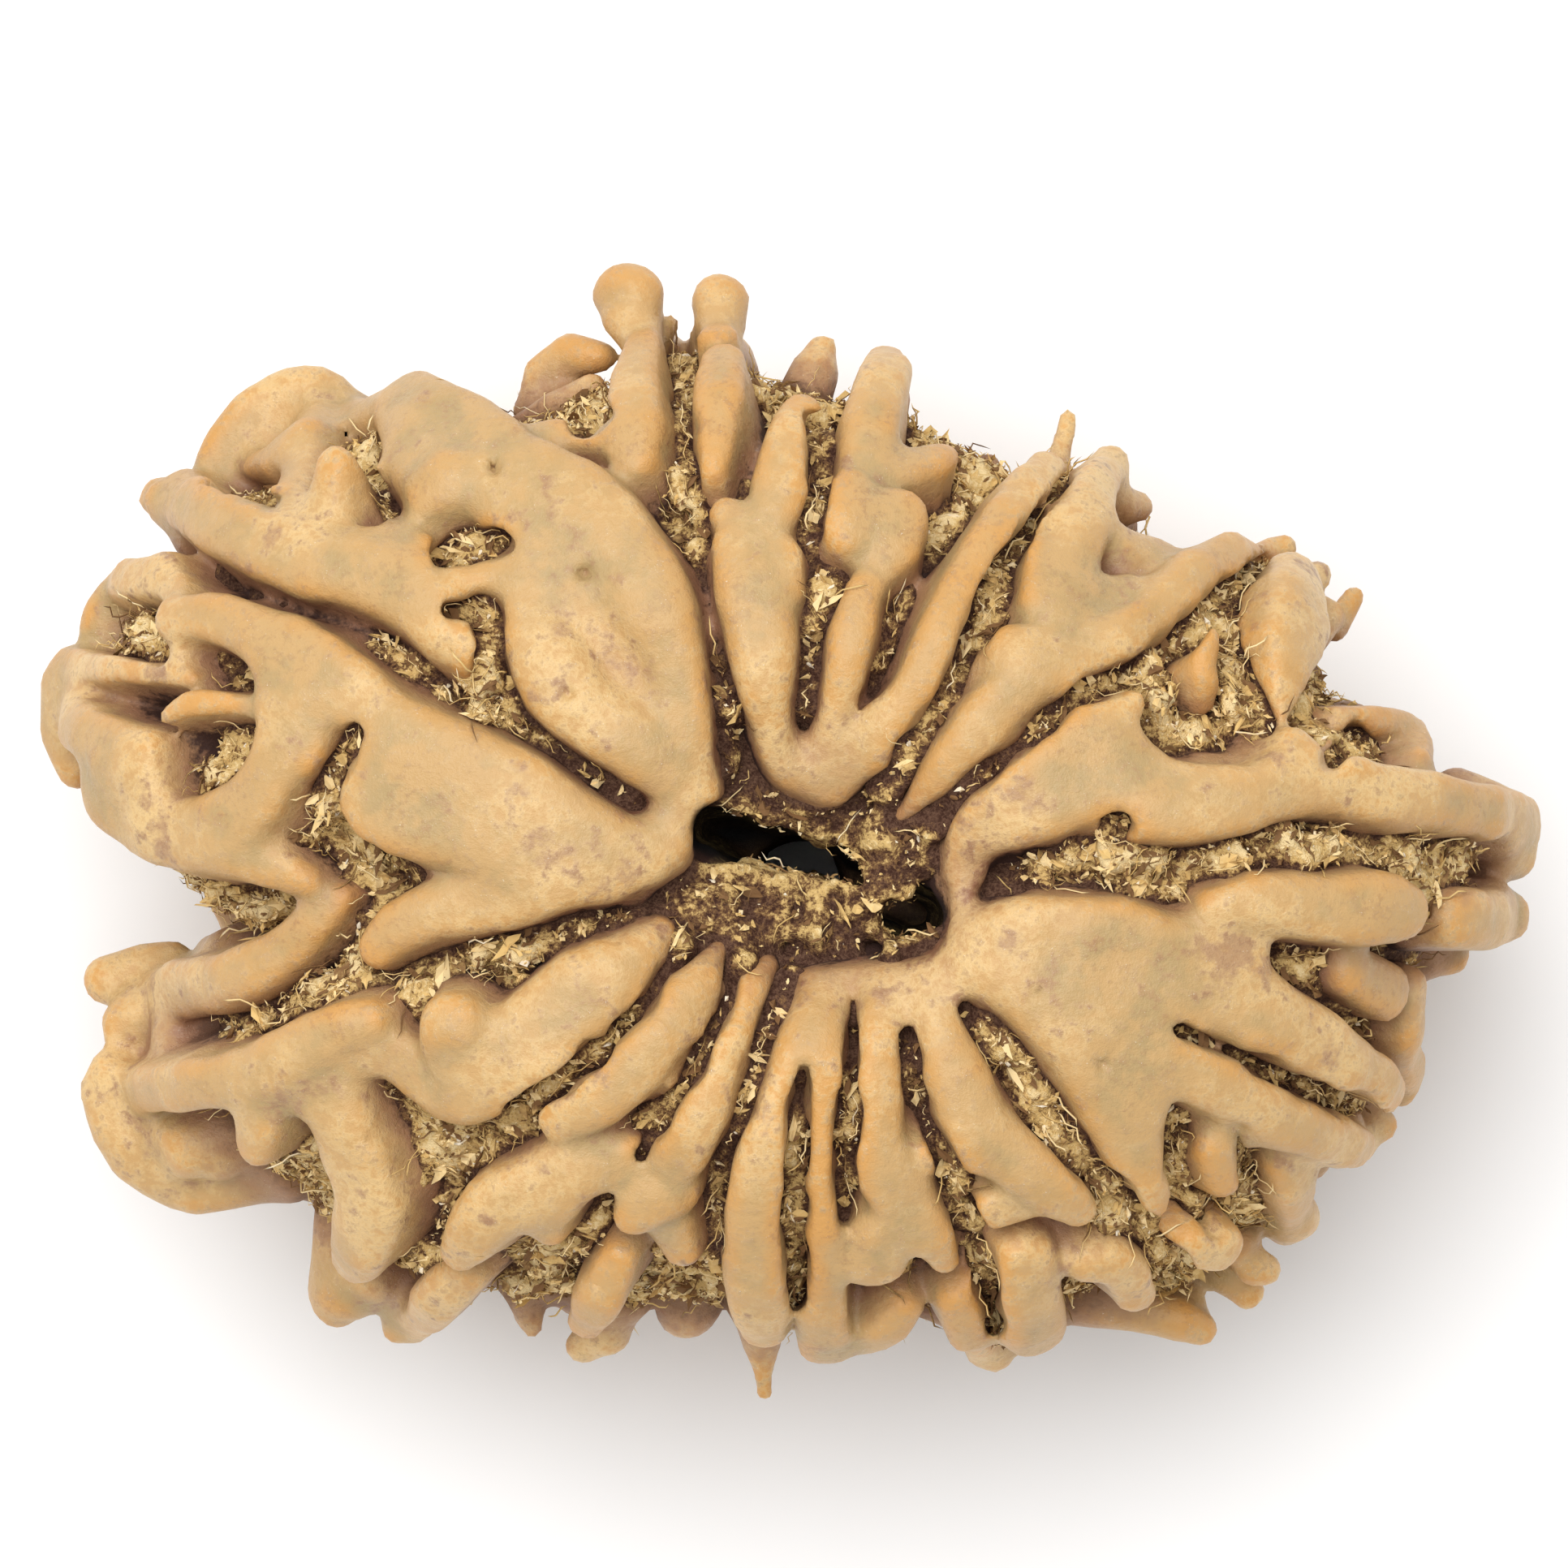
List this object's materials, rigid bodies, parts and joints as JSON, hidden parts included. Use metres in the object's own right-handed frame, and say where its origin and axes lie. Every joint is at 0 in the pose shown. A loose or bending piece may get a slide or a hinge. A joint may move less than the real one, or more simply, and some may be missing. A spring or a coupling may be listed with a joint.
{
  "type": "rudraksha bead",
  "caption": "Oval woody fruit stone, deeply furrowed into wavy ribs that fan from a slit-mouthed natural thread hole and end in teeth at the rim.",
  "frame": {"origin": "centre of the bounding box seen from above, at the level of the worn crests that the bead rests on", "axes": "+Z along the thread hole, from the lower mouth to the slit mouth; +X along the bead's longest extent, towards its pointed end"},
  "size_m": [0.0338, 0.0256, 0.0198],
  "materials": {
    "endocarp": "natural dry stone of a fruit, smooth and faintly waxy on the ribs, fibrous and stained dark in the furrows",
    "dried_pulp": "matt straw-coloured flakes and strands of dried fruit pulp in the furrows"
  },
  "bodies": {
    "root": {"bead": "endocarp"}
  },
  "joints": []
}
